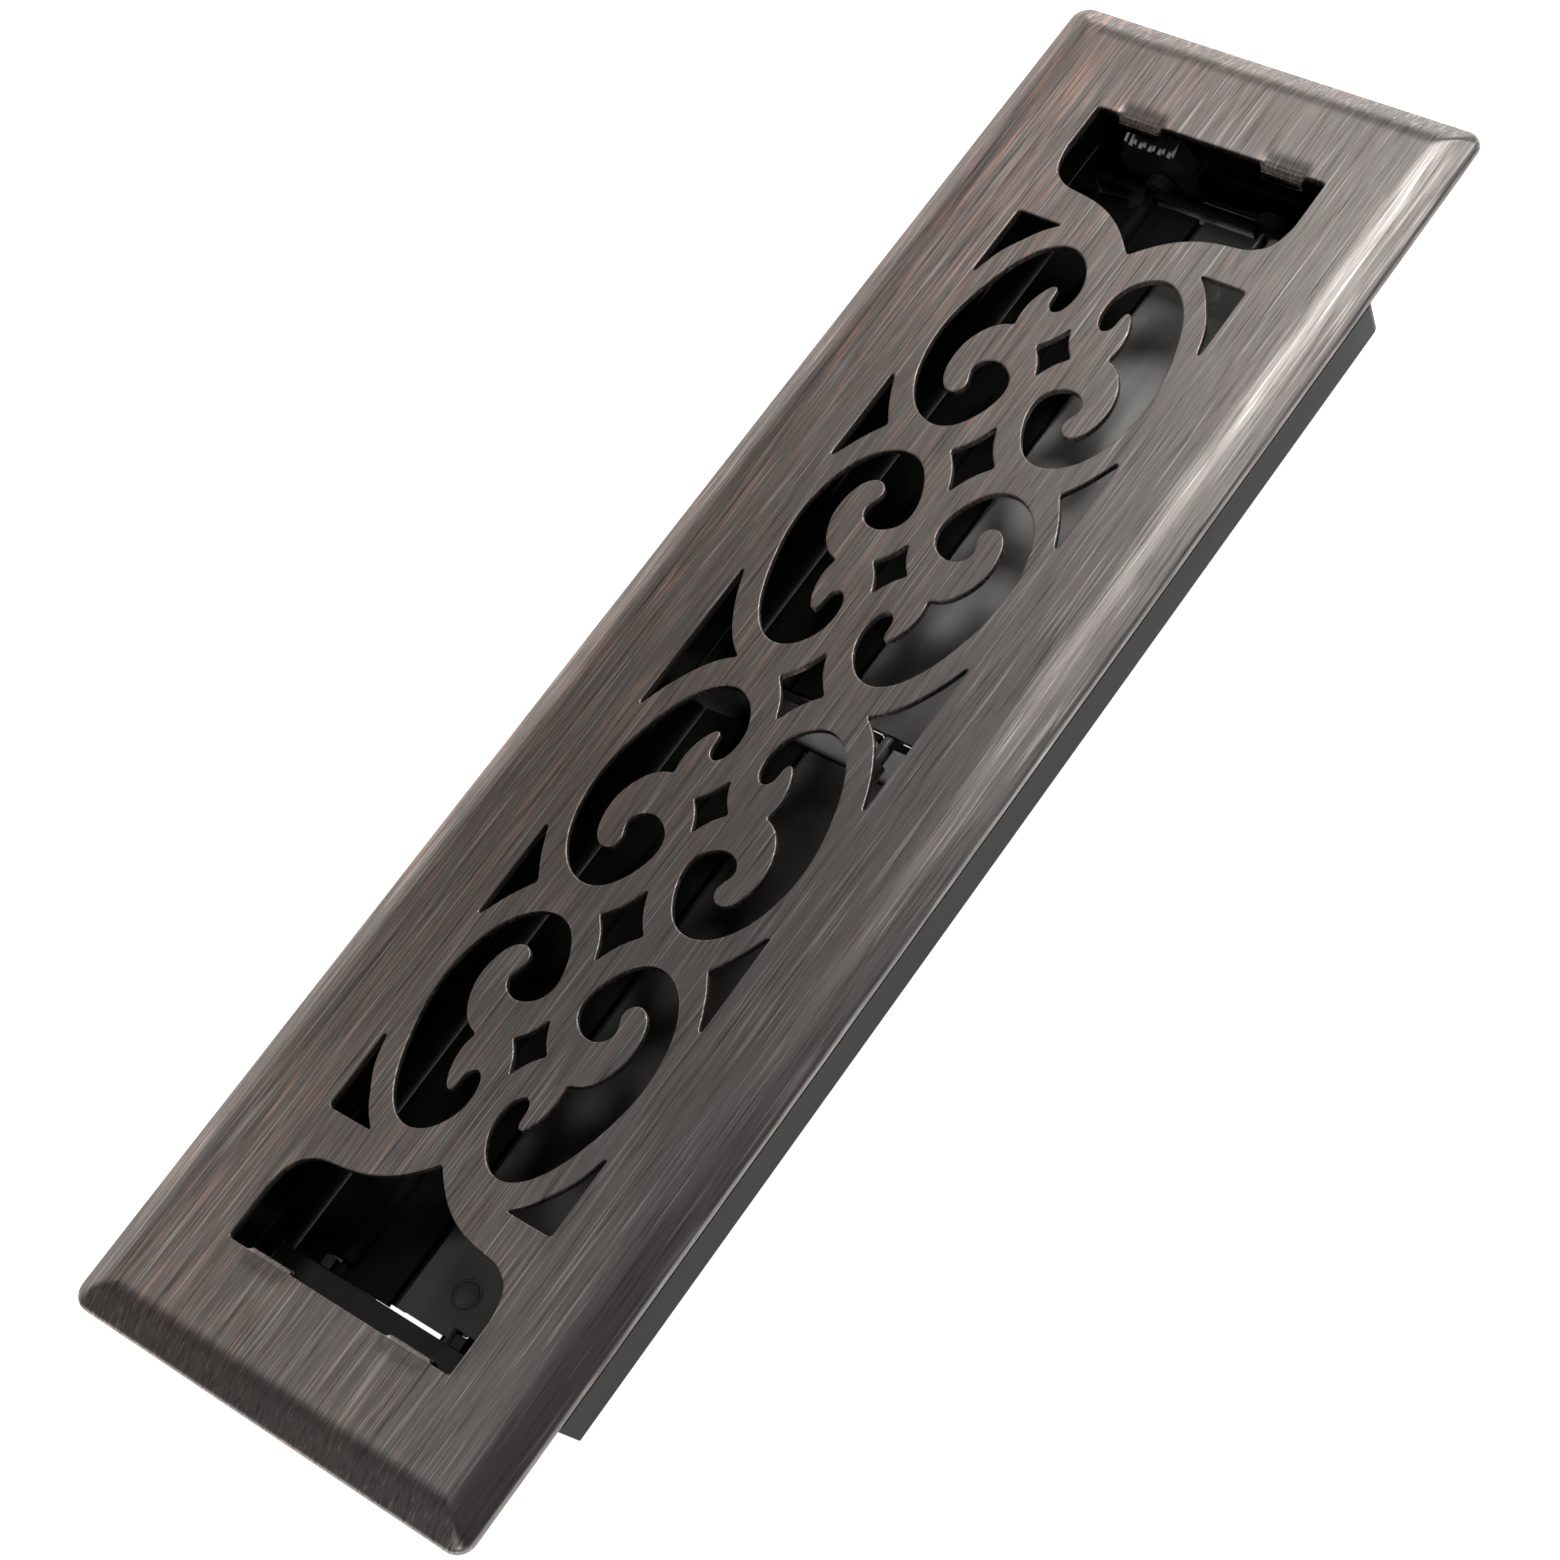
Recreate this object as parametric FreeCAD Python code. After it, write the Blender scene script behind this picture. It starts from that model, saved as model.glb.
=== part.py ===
import FreeCAD, Part
import math
import os

# A drop-in floor register: a pressed, brushed steel faceplate with a scroll pattern, over a moulded
# damper box whose two louvres, each in two halves, are turned by a thumb slider in the far window.
# Millimetres. X runs across the register, Y along it and +Z is up, out of the floor.
# The origin is under the middle of the faceplate, at the height of the box's lower edge.

V = FreeCAD.Vector
UP = V(0, 0, 1)

# Faceplate
FACE_Z = 52.4               # top of the flat face above the box's lower edge
SHEET = 1.3                 # sheet thickness
PLATE_HALF_X = 49.6
PLATE_HALF_Y = 171.5
RIM_DROP = 4.2              # from the flat face down to the rim's lower edge
RIM_EDGE = 1.1              # height of the upright edge all round
BEVEL_WIDTH = 6.4           # the sloping border, seen from above
RIM_CORNER_R = 4.0
CREASE_CORNER_R = 1.6
CREASE_R = 2.5              # rounding between the flat face and the bevel

# Cut pattern: it is the same in all four quarters, and in both halves of a quarter
REPEAT_Y = 59.05            # the mirror line between the two scrolls of a quarter
SIDE_X = 27.7               # straight outer sides of the openings
WINDOW_END_Y = 146.5        # outer edge of the end windows
WINDOW_SHOULDER_Y = 135.0
TAB_X = 17.4
TAB_HALF = 5.0
TAB_DROP = 4.0
TAB_IN = 1.1                # how far a tab stands into its window
TAB_BEND_R = 2.0

# Damper box
BOX_HALF_X = 28.05
WALL = 1.1
STEP_IN = 0.4               # the upper wall is thinner by this
STEP_Z = FACE_Z - 8.0
BOX_TOP = FACE_Z - SHEET
NEAR_Y = -148.0             # outer faces of the end walls
FAR_Y = 153.6
NEAR_SKIRT_Y = -141.4       # the lower wall under the near ledge
NEAR_FOOT_Y = -136.3        # where the lower wall ends, after its slope
SLOPE_TOP_Z = 22.0
END_WALL = 1.2
SHELF_Z = FACE_Z - 14.0     # top of the near ledge and of the bearing wall
LEDGE_Y = -139.9            # inner edge of the near ledge
BEARING_Y = 139.2           # louvre side of the far bearing wall
BEARING_T = 1.8
SHELF_DEPTH = 3.1
SHELF_T = 1.6
KEEPER_Z = 40.6
COVER_Y = 147.0             # inner edge of the strip that closes the box behind the far window
CORNER_R = 3.0
BEAD_Z = FACE_Z - 43.3
BEAD_R = 0.45

# Louvres and their bearings
PIVOT_X = 13.5
PIVOT_Z = FACE_Z - 16.5
STUB_R = 1.5
RUNNING = 0.05              # radial clearance of a stub in its bearing
MOUTH = 2.6                 # width of a bearing's snap-in mouth
LOUVRE_INNER = 12.85        # pivot to the edge that meets the other louvre
LOUVRE_OUTER = 13.05        # pivot to the edge beside the wall
LOUVRE_T = 1.4
SPINE_R = 2.4
LEFT_CREASE_IN = 5.9        # pivot to the crease from which the left louvre slopes to its wall
LEFT_FALL = 3.0
NEAR_END = {-1: -139.5, 1: -138.7}
FAR_END = 138.4
MIDDLE_ENDS = (-5.5, 4.7)   # inner ends of the near and far halves
NEAR_NOTCH_Y = -136.5       # notches in a louvre's outer ends, round its bearings
FAR_NOTCH_Y = 136.2
NOTCH_HALF = 5.2
LIP_REACH = 2.6             # the right louvre's lip under the left louvre's edge
LIP_T = 0.8
SQUARE = 2.1                # keyed ends of the stubs
KEY_FIT = 0.02

# Centre rail
RAIL_Y0 = 2.1
RAIL_T = 1.8
RAIL_BOTTOM = 16.4
RAIL_TOP = 37.9
PAD_TOP = 21.5
PAD_T = 1.5

# Cranks, link bar and thumb
SWING = 80.0                # degrees from closed to open
CRANK_LENGTH = 12.0
CRANK_Y0 = 141.4
CRANK_T = 3.0
CRANK_HUB_R = 3.4
PIN_R = 1.5
TRAVEL = 2 * CRANK_LENGTH * math.sin(math.radians(SWING / 2))
PIN_DX = -TRAVEL / 2
PIN_DZ = -CRANK_LENGTH * math.cos(math.radians(SWING / 2))
BAR_Y0 = 145.4
BAR_T = 1.8
BAR_X0 = -25.9
BAR_X1 = 10.2
BAR_Z0 = 19.8
BAR_TOP = 33.0              # top of the web beside the flange
SLOT_W = 4.1
FLANGE_X = (-24.6, -5.4)
FLANGE_Z = SHELF_Z + 0.3
FLANGE_T = 1.5
FLANGE_Y1 = 152.0
THUMB_X = (-22.2, -9.4)
THUMB_Y = (144.9, 148.9)
THUMB_TOP = FACE_Z - 5.9
RIBS = 6
RIB_W = 1.0
RIB_H = 0.7
PEG_R = 1.0


def box(x, y, z):
    """A block between pairs of low and high coordinates."""
    return Part.makeBox(x[1] - x[0], y[1] - y[0], z[1] - z[0], V(x[0], y[0], z[0]))


def polygon(points):
    return Part.Face(Part.makePolygon(points + [points[0]]))


def along_x(yz, x):
    """A prism with the outline yz, from x[0] to x[1]."""
    return polygon([V(x[0], y, z) for y, z in yz]).extrude(V(x[1] - x[0], 0, 0))


def along_y(xz, y):
    """A prism with the outline xz, from y[0] to y[1]."""
    return polygon([V(px, y[0], pz) for px, pz in xz]).extrude(V(0, y[1] - y[0], 0))


def rod(r, x, z, y):
    return Part.makeCylinder(r, y[1] - y[0], V(x, y[0], z), V(0, 1, 0))


def square_rod(side, x, z, y):
    half = side / 2
    return box((x - half, x + half), y, (z - half, z + half))


def spline(points):
    curve = Part.BSplineCurve()
    curve.interpolate([V(x, y, 0) for x, y in points])
    return curve.toShape()


def line(a, b):
    return Part.makeLine(V(a[0], a[1], 0), V(b[0], b[1], 0))


def opening(edges):
    """A cutter through the sheet, from a closed outline in the XY plane."""
    face = Part.Face(Part.Wire(Part.__sortEdges__(edges)))
    cutter = face.extrude(V(0, 0, 3 * SHEET))
    cutter.translate(V(0, 0, FACE_Z - 2 * SHEET))
    return cutter


def mirrored_y(shape, y):
    return shape.mirror(V(0, y, 0), V(0, 1, 0))


# ---- Pattern ----

def scroll():
    """The C scroll of a quarter's outer half, from the cusp between its two tongues and back."""
    big_tongue = [(11.4, 90.7), (13.6, 90.0), (16.2, 87.6), (18.1, 83.7), (18.7, 79.5), (18.0, 75.0),
                  (16.4, 72.2), (14.3, 71.2), (12.5, 72.1), (11.9, 74.1), (12.6, 76.3), (13.0, 78.3)]
    big_curl = [(11.8, 80.4), (9.1, 81.35), (6.4, 80.5), (4.4, 78.5), (3.6, 75.2), (4.9, 69.8),
                (8.6, 64.5), (13.0, 63.05)]
    outer_side = [(18.0, 65.0), (22.4, 70.9), (24.6, 78.5), (25.0, 86.0), (23.5, 95.0), (19.9, 105.0),
                  (15.4, 110.7), (11.4, 112.1)]
    small_curl = [(7.4, 110.5), (4.3, 106.0), (3.6, 101.5), (4.6, 97.6), (6.2, 96.6), (7.6, 97.9)]
    small_tongue = [(8.0, 101.0), (8.8, 102.5), (10.4, 100.8), (11.6, 97.4), (11.9, 93.8), (11.4, 90.7)]
    return opening([spline(big_tongue + big_curl + outer_side + small_curl + small_tongue)])


def end_triangle():
    corner = (SIDE_X, 116.4)
    inner = (16.9, 116.35)
    tip = (27.2, 99.0)
    tip_side = (SIDE_X, 99.0)
    curve = spline([inner, (20.0, 113.4), (22.5, 109.9), (25.1, 105.6), tip])
    return opening([curve, line(tip, tip_side), line(tip_side, corner), line(corner, inner)])


def side_triangle():
    """The curved triangle beside the mirror line between two scrolls."""
    low, high = (27.2, 47.9), (27.2, 2 * REPEAT_Y - 47.9)
    inner = (21.05, REPEAT_Y)
    low_side, high_side = (SIDE_X, low[1]), (SIDE_X, high[1])
    curves = [spline([low, (24.1, 54.4), inner]), spline([inner, (24.1, 2 * REPEAT_Y - 54.4), high])]
    return opening(curves + [line(high, high_side), line(high_side, low_side), line(low_side, low)])


def centre_triangle():
    tip, inner = (27.3, 17.6), (15.9, 0.0)
    side = (SIDE_X, tip[1])
    upper = spline([inner, (20.0, 3.5), (25.0, 11.7), tip])
    lower = upper.mirror(V(0, 0, 0), V(0, 1, 0))
    foot, foot_side = (tip[0], -tip[1]), (SIDE_X, -tip[1])
    return opening([upper, lower, line(tip, side), line(side, foot_side), line(foot_side, foot)])


def diamond(centre_y, half_height, half_width):
    """A diamond with its sides drawn in a little."""
    pull = 0.43
    tips = [(0, half_height), (half_width, 0), (0, -half_height), (-half_width, 0)]
    edges = []
    for (ax, ay), (bx, by) in zip(tips, tips[1:] + tips[:1]):
        middle = ((ax + bx) * pull, centre_y + (ay + by) * pull)
        edges.append(spline([(ax, centre_y + ay), middle, (bx, centre_y + by)]))
    return opening(edges)


def end_window():
    curve = spline([(SIDE_X, WINDOW_SHOULDER_Y), (27.3, 132.3), (26.4, 129.3), (25.0, 127.4), (22.5, 125.9),
                    (20.0, 125.3), (15.0, 124.6), (10.0, 123.0), (5.0, 119.9), (0.0, 115.0)])
    other = curve.mirror(V(0, 0, 0), V(1, 0, 0))
    right, left = (SIDE_X, WINDOW_END_Y), (-SIDE_X, WINDOW_END_Y)
    shoulder_r, shoulder_l = (SIDE_X, WINDOW_SHOULDER_Y), (-SIDE_X, WINDOW_SHOULDER_Y)
    return opening([curve, other, line(shoulder_r, right), line(right, left), line(left, shoulder_l)])


def pattern():
    outer_scroll = scroll()
    quarter = [outer_scroll, mirrored_y(outer_scroll, REPEAT_Y), end_triangle(), side_triangle()]
    half = quarter + [mirrored_y(shape, 0) for shape in quarter] + [centre_triangle()]
    cutters = half + [shape.mirror(V(0, 0, 0), V(1, 0, 0)) for shape in half]
    window = end_window()
    cutters += [window, mirrored_y(window, 0), diamond(0, 8.65, 5.5)]
    for side in (-1, 1):
        cutters.append(diamond(side * REPEAT_Y, 8.7, 5.35))
        for offset in (-28.9, 28.9):
            cutters.append(diamond(side * (REPEAT_Y + offset), 6.55, 4.2))
    return cutters


# ---- Faceplate ----

def rounded_rectangle(half_x, half_y, r, z):
    edges = []
    corners = [(1, 1), (-1, 1), (-1, -1), (1, -1)]
    for index, (sx, sy) in enumerate(corners):
        centre = V(sx * (half_x - r), sy * (half_y - r), z)
        edges.append(Part.makeCircle(r, centre, UP, 90 * index, 90 * index + 90))
    sides = []
    for index in range(4):
        start = edges[index].Vertexes[-1].Point
        end = edges[(index + 1) % 4].Vertexes[0].Point
        sides.append(Part.makeLine(start, end))
    return Part.Wire(Part.__sortEdges__(edges + sides))


def pressed_block(inset, top_z, crease_r):
    """The outside of a pressed tray turned upside down: an upright edge, then the bevel."""
    rim_z = FACE_Z - RIM_DROP
    edge_z = top_z - (RIM_DROP - RIM_EDGE)
    half_x, half_y = PLATE_HALF_X - inset, PLATE_HALF_Y - inset
    rim = rounded_rectangle(half_x, half_y, RIM_CORNER_R - inset / 2, edge_z)
    crease_in = BEVEL_WIDTH - inset * 0.7
    crease = rounded_rectangle(half_x - crease_in, half_y - crease_in, CREASE_CORNER_R, top_z)
    block = Part.makeLoft([rim, crease], True, True)
    top_edges = [edge for edge in block.Edges if all(abs(v.Z - top_z) < 0.001 for v in edge.Vertexes)]
    block = block.makeFillet(crease_r, top_edges)
    skirt = Part.Face(rounded_rectangle(half_x, half_y, RIM_CORNER_R - inset / 2, rim_z - inset))
    return block.fuse(skirt.extrude(V(0, 0, edge_z - rim_z + inset))).removeSplitter()


def tab(side_x, side_y):
    """A strip bent down from the window's outer edge."""
    y_in = WINDOW_END_Y - TAB_IN
    centre_y = y_in + TAB_BEND_R
    centre_z = FACE_Z - TAB_BEND_R
    inner_r = TAB_BEND_R - SHEET
    turn = math.sqrt(0.5)
    x0 = side_x * TAB_X - TAB_HALF

    def at(y, z):
        return V(x0, y, z)

    outer_arc = Part.Arc(at(centre_y, FACE_Z), at(centre_y - TAB_BEND_R * turn, centre_z + TAB_BEND_R * turn),
                         at(y_in, centre_z)).toShape()
    inner_arc = Part.Arc(at(y_in + SHEET, centre_z), at(centre_y - inner_r * turn, centre_z + inner_r * turn),
                         at(centre_y, FACE_Z - SHEET)).toShape()
    foot_z = FACE_Z - TAB_DROP
    lines = [Part.makeLine(at(y_in, centre_z), at(y_in, foot_z)),
             Part.makeLine(at(y_in, foot_z), at(y_in + SHEET, foot_z)),
             Part.makeLine(at(y_in + SHEET, foot_z), at(y_in + SHEET, centre_z)),
             Part.makeLine(at(centre_y, FACE_Z - SHEET), at(centre_y, FACE_Z))]
    face = Part.Face(Part.Wire(Part.__sortEdges__([outer_arc, inner_arc] + lines)))
    shape = face.extrude(V(2 * TAB_HALF, 0, 0))
    return shape if side_y > 0 else mirrored_y(shape, 0)


def faceplate():
    plate = pressed_block(0, FACE_Z, CREASE_R)
    plate = plate.cut(pressed_block(SHEET, FACE_Z - SHEET, CREASE_R - SHEET))
    plate = plate.cut(Part.makeCompound(pattern()))
    bend_y = WINDOW_END_Y - TAB_IN + TAB_BEND_R
    for side_x in (-1, 1):
        for side_y in (-1, 1):
            x = (side_x * TAB_X - TAB_HALF, side_x * TAB_X + TAB_HALF)
            relief = box(x, (WINDOW_END_Y - 1, bend_y), (FACE_Z - SHEET - 0.5, FACE_Z + 0.5))
            plate = plate.cut(relief if side_y > 0 else mirrored_y(relief, 0))
            plate = plate.fuse(tab(side_x, side_y))
    return plate.removeSplitter()


# ---- Damper box ----

def keyhole(x, y, up=True):
    """A snap-in bearing: a round seat for a stub, open upwards or downwards through a narrower mouth."""
    seat = rod(STUB_R + RUNNING, x, PIVOT_Z, y)
    mouth_z = (PIVOT_Z, SHELF_Z + 1) if up else (PIVOT_Z - 5, PIVOT_Z)
    return seat.fuse(box((x - MOUTH / 2, x + MOUTH / 2), y, mouth_z))


def damper_box():
    outline = [(NEAR_Y, BOX_TOP), (NEAR_Y, SHELF_Z - SHELF_T), (NEAR_SKIRT_Y, SHELF_Z - SHELF_T),
               (NEAR_SKIRT_Y, SLOPE_TOP_Z), (NEAR_FOOT_Y, 0), (FAR_Y, 0), (FAR_Y, BOX_TOP)]
    body = along_x(outline, (-BOX_HALF_X, BOX_HALF_X))
    far_corners = [edge for edge in body.Edges
                   if all(abs(v.Y - FAR_Y) < 0.001 for v in edge.Vertexes) and edge.Length > BOX_TOP - 1
                   and abs(edge.Vertexes[0].X - edge.Vertexes[1].X) < 0.001]
    body = body.makeFillet(CORNER_R, far_corners)

    # The throat under the louvres, the tray above the ledge and the bearing wall, and the slider's pocket
    half = BOX_HALF_X - WALL
    bearing_back = BEARING_Y + BEARING_T
    pocket_end = FAR_Y - END_WALL
    foot_inner = NEAR_FOOT_Y + END_WALL + 0.3
    hollow = [(NEAR_Y + END_WALL, BOX_TOP + 1), (NEAR_Y + END_WALL, SHELF_Z), (LEDGE_Y, SHELF_Z),
              (LEDGE_Y, SLOPE_TOP_Z), (foot_inner, 0), (foot_inner, -1),
              (BEARING_Y, -1), (BEARING_Y, SHELF_Z), (bearing_back, SHELF_Z), (bearing_back, END_WALL),
              (pocket_end, END_WALL), (pocket_end, BOX_TOP + 1)]
    body = body.cut(along_x(hollow, (-half, half)))
    body = body.cut(box((-half - STEP_IN, half + STEP_IN), (NEAR_Y + END_WALL, FAR_Y - CORNER_R),
                        (STEP_Z, BOX_TOP + 1)))

    # The bar's shelf with a keeper above it, and the strip behind the far window
    shelf = box((-half, half), (pocket_end - SHELF_DEPTH, pocket_end), (SHELF_Z - SHELF_T, SHELF_Z))
    keeper = box((-half, half), (pocket_end - 1.8, pocket_end), (KEEPER_Z, KEEPER_Z + 1.2))
    cover = box((-half, half), (COVER_Y, FAR_Y - 0.5), (BOX_TOP - 1.2, BOX_TOP))
    body = body.fuse([shelf, keeper, cover])

    # Near bearings: bosses under the ledge, each with a lug that reaches into the louvre's notch
    for side in (-1, 1):
        x = side * PIVOT_X
        boss = box((x - 3.4, x + 3.4), (LEDGE_Y - 4.6, LEDGE_Y), (PIVOT_Z - 4, SHELF_Z))
        lug_x = sorted((x + side * (STUB_R + 0.15), x + side * (NOTCH_HALF - 0.9)))
        lug = box(lug_x, (LEDGE_Y - 1, NEAR_NOTCH_Y - 0.7), (PIVOT_Z - 1.5, SHELF_Z - 0.4))
        body = body.fuse([boss, lug])
        if side > 0:
            # A stepped sill under the right notch, where neither wing of the louvre swings
            steps = [(x + STUB_R + 0.15, NEAR_NOTCH_Y - 0.3), (x + SPINE_R + 0.3, NEAR_NOTCH_Y + 0.9)]
            for step_x, end_y in steps:
                sill = box((step_x, x + 6.5), (LEDGE_Y - 1, end_y), (PIVOT_Z - 2, PIVOT_Z - 0.5))
                body = body.fuse(sill)
        body = body.cut(keyhole(x, (LEDGE_Y - 3.6, LEDGE_Y + 0.5), up=False))
        body = body.cut(keyhole(x, (BEARING_Y - 0.5, bearing_back + 0.5)))

    # A bead along the foot of each long wall
    for side in (-1, 1):
        body = body.fuse(rod(BEAD_R, side * BOX_HALF_X, BEAD_Z, (NEAR_SKIRT_Y + 4.2, FAR_Y - CORNER_R)))
    return body.removeSplitter()


def centre_rail():
    half = BOX_HALF_X - WALL
    y = (RAIL_Y0, RAIL_Y0 + RAIL_T)
    rail = box((-half, half), y, (RAIL_BOTTOM, RAIL_TOP))
    foot = box((-half, half), (y[0] - 1.6, y[1] + 1.6), (RAIL_BOTTOM, RAIL_BOTTOM + 1.4))
    pads = [box(sorted((side * half, side * (half - PAD_T))), (y[0] - 3, y[1] + 3), (RAIL_BOTTOM, PAD_TOP))
            for side in (-1, 1)]
    rail = rail.fuse([foot] + pads)
    for side in (-1, 1):
        rail = rail.cut(keyhole(side * PIVOT_X, (y[0] - 0.5, y[1] + 0.5)))
    return rail.removeSplitter()


# ---- Louvres ----

def louvre(side, span, notch):
    """Half a louvre on one side (-1 left, 1 right), with the y extent of its notch for the bearing."""
    x = side * PIVOT_X
    inner, outer = x - side * LOUVRE_INNER, x + side * LOUVRE_OUTER
    top = PIVOT_Z + STUB_R
    if side < 0:
        spine_y = (notch[1], span[1]) if notch[0] < span[0] else (span[0], notch[0])
        spine = rod(SPINE_R, x, PIVOT_Z, spine_y)
        crease = x + LEFT_CREASE_IN
        upper = [(inner, top), (crease, top), (outer, top - LEFT_FALL)]
        lower = [(px, pz - LOUVRE_T) for px, pz in reversed(upper)]
        leaf = along_y(upper + lower, span)
    else:
        leaf = box((inner, outer), span, (top - LOUVRE_T, top))
        above = box((x - 5, x + 5), (span[0] - 1, span[1] + 1), (top - 0.3, top + 5))
        spine = rod(SPINE_R, x, PIVOT_Z, span).cut(above)
    long_edges = [edge for edge in leaf.Edges if edge.Length > span[1] - span[0] - 1]
    body = leaf.makeFillet(0.45, long_edges).fuse(spine)

    if side > 0:
        lip_top = top - LOUVRE_T - 0.3
        root = box((inner + 0.2, inner + 1.4), span, (lip_top - LIP_T, top - 0.5))
        lip = box((inner - LIP_REACH, inner + 1.4), span, (lip_top - LIP_T, lip_top))
        body = body.fuse(root.fuse(lip).removeSplitter())

    notch_x = sorted((x, x + side * NOTCH_HALF))
    body = body.cut(box(notch_x, notch, (PIVOT_Z - 5, top + 1)))
    return body.cut(box((x - 3, x + 3), notch, (PIVOT_Z - 5, top - LOUVRE_T)))


def near_louvre(side):
    """It carries the blind near stub, and a long inner stub that runs in the centre rail."""
    x = side * PIVOT_X
    rail_end = RAIL_Y0 + RAIL_T + 0.3
    end, far_end = MIDDLE_ENDS
    body = louvre(side, (NEAR_END[side], end), (NEAR_END[side] - 1, NEAR_NOTCH_Y))
    near_stub = rod(STUB_R, x, PIVOT_Z, (LEDGE_Y - 3.3, NEAR_NOTCH_Y + 1))
    rail_stub = rod(STUB_R, x, PIVOT_Z, (end - 1, rail_end))
    key = square_rod(SQUARE, x, PIVOT_Z, (rail_end - 0.5, far_end + 6))
    collar = rod(SPINE_R, x, PIVOT_Z, (end - 1, end + 4))
    return body.fuse([near_stub, rail_stub, collar, key]).removeSplitter()


def far_louvre(side):
    """It is driven through its keyed far stub, and turns the near half through a square socket."""
    x = side * PIVOT_X
    start = MIDDLE_ENDS[1]
    body = louvre(side, (start, FAR_END), (FAR_NOTCH_Y, FAR_END + 1))
    body = body.cut(square_rod(SQUARE + 2 * KEY_FIT, x, PIVOT_Z, (start - 1, start + 6.3)))
    far_stub = rod(STUB_R, x, PIVOT_Z, (FAR_NOTCH_Y - 1, CRANK_Y0 - 0.1))
    key = square_rod(SQUARE, x, PIVOT_Z, (CRANK_Y0 - 0.6, CRANK_Y0 + CRANK_T))
    return body.fuse([far_stub, key]).removeSplitter()


# ---- Linkage ----

def crank(side):
    """An arm keyed on a far stub, with a pin that runs in the link bar."""
    x = side * PIVOT_X
    y = (CRANK_Y0, CRANK_Y0 + CRANK_T)
    pin_x, pin_z = x + PIN_DX, PIVOT_Z + PIN_DZ
    ux, uz = PIN_DX / CRANK_LENGTH, PIN_DZ / CRANK_LENGTH
    half = 2.3
    arm = along_y([(x - uz * half, PIVOT_Z + ux * half), (x + uz * half, PIVOT_Z - ux * half),
                   (pin_x + uz * half, pin_z - ux * half), (pin_x - uz * half, pin_z + ux * half)], y)
    hub = rod(CRANK_HUB_R, x, PIVOT_Z, y)
    eye = rod(half, pin_x, pin_z, y)
    pin = rod(PIN_R, pin_x, pin_z, (y[1] - 0.5, BAR_Y0 + BAR_T + 1.2))
    body = arm.fuse([hub, eye, pin])
    return body.cut(square_rod(SQUARE + 2 * KEY_FIT, x, PIVOT_Z, (y[0] - 1, y[1] + 1))).removeSplitter()


def peg_places():
    inset = 3.2
    return (THUMB_X[0] + inset, THUMB_X[1] - inset)


def link_bar():
    y = (BAR_Y0, BAR_Y0 + BAR_T)
    web = box((BAR_X0, BAR_X1), y, (BAR_Z0, BAR_TOP))
    riser = box(FLANGE_X, y, (BAR_TOP - 1, FLANGE_Z + FLANGE_T))
    flange = box(FLANGE_X, (BAR_Y0, FLANGE_Y1), (FLANGE_Z, FLANGE_Z + FLANGE_T))
    body = web.fuse([riser, flange])
    clear = 0.6
    slot_z = (PIVOT_Z - CRANK_LENGTH - PIN_R - clear, PIVOT_Z + PIN_DZ + PIN_R + clear)
    for side in (-1, 1):
        x = side * PIVOT_X + PIN_DX
        body = body.cut(box((x - SLOT_W / 2, x + SLOT_W / 2), (y[0] - 1, y[1] + 1), slot_z))
    for x in peg_places():
        hole_at = V(x, sum(THUMB_Y) / 2, FLANGE_Z - FLANGE_T)
        body = body.cut(Part.makeCylinder(PEG_R + KEY_FIT, 3 * FLANGE_T, hole_at))
    return body.removeSplitter()


def thumb_slider():
    foot_z = FLANGE_Z + FLANGE_T
    left, right = THUMB_X
    slope = 3.6
    body = along_y([(left - 0.6, foot_z), (right + slope, foot_z), (right + slope, foot_z + 1.0),
                    (right, THUMB_TOP), (left, THUMB_TOP)], THUMB_Y)
    pitch = (right - left - RIB_W) / (RIBS - 1)
    for index in range(RIBS):
        x = left + index * pitch
        body = body.fuse(box((x, x + RIB_W), THUMB_Y, (THUMB_TOP - 0.5, THUMB_TOP + RIB_H)))
    for x in peg_places():
        body = body.fuse(Part.makeCylinder(PEG_R, FLANGE_T + 0.5, V(x, sum(THUMB_Y) / 2, FLANGE_Z)))
    return body.removeSplitter()


def main():
    os.makedirs("parts", exist_ok=True)
    nodes = {
        "faceplate": faceplate(),
        "damper_box": damper_box(),
        "centre_rail": centre_rail(),
        "link_bar": link_bar(),
        "thumb_slider": thumb_slider(),
    }
    for name, side in (("left", -1), ("right", 1)):
        nodes[name + "_louvre_near"] = near_louvre(side)
        nodes[name + "_louvre_far"] = far_louvre(side)
        nodes[name + "_crank"] = crank(side)
    for name, shape in nodes.items():
        volume = round(shape.Volume / 1000, 2)
        print(name, "solids", len(shape.Solids), "valid", shape.isValid(), "cm3", volume)
        shape.exportStep("parts/" + name + ".step")


main()
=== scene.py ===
import math

import bmesh
import bpy
import numpy as np
from mathutils import Matrix, Vector
from mathutils.geometry import delaunay_2d_cdt
from mathutils.kdtree import KDTree


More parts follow.
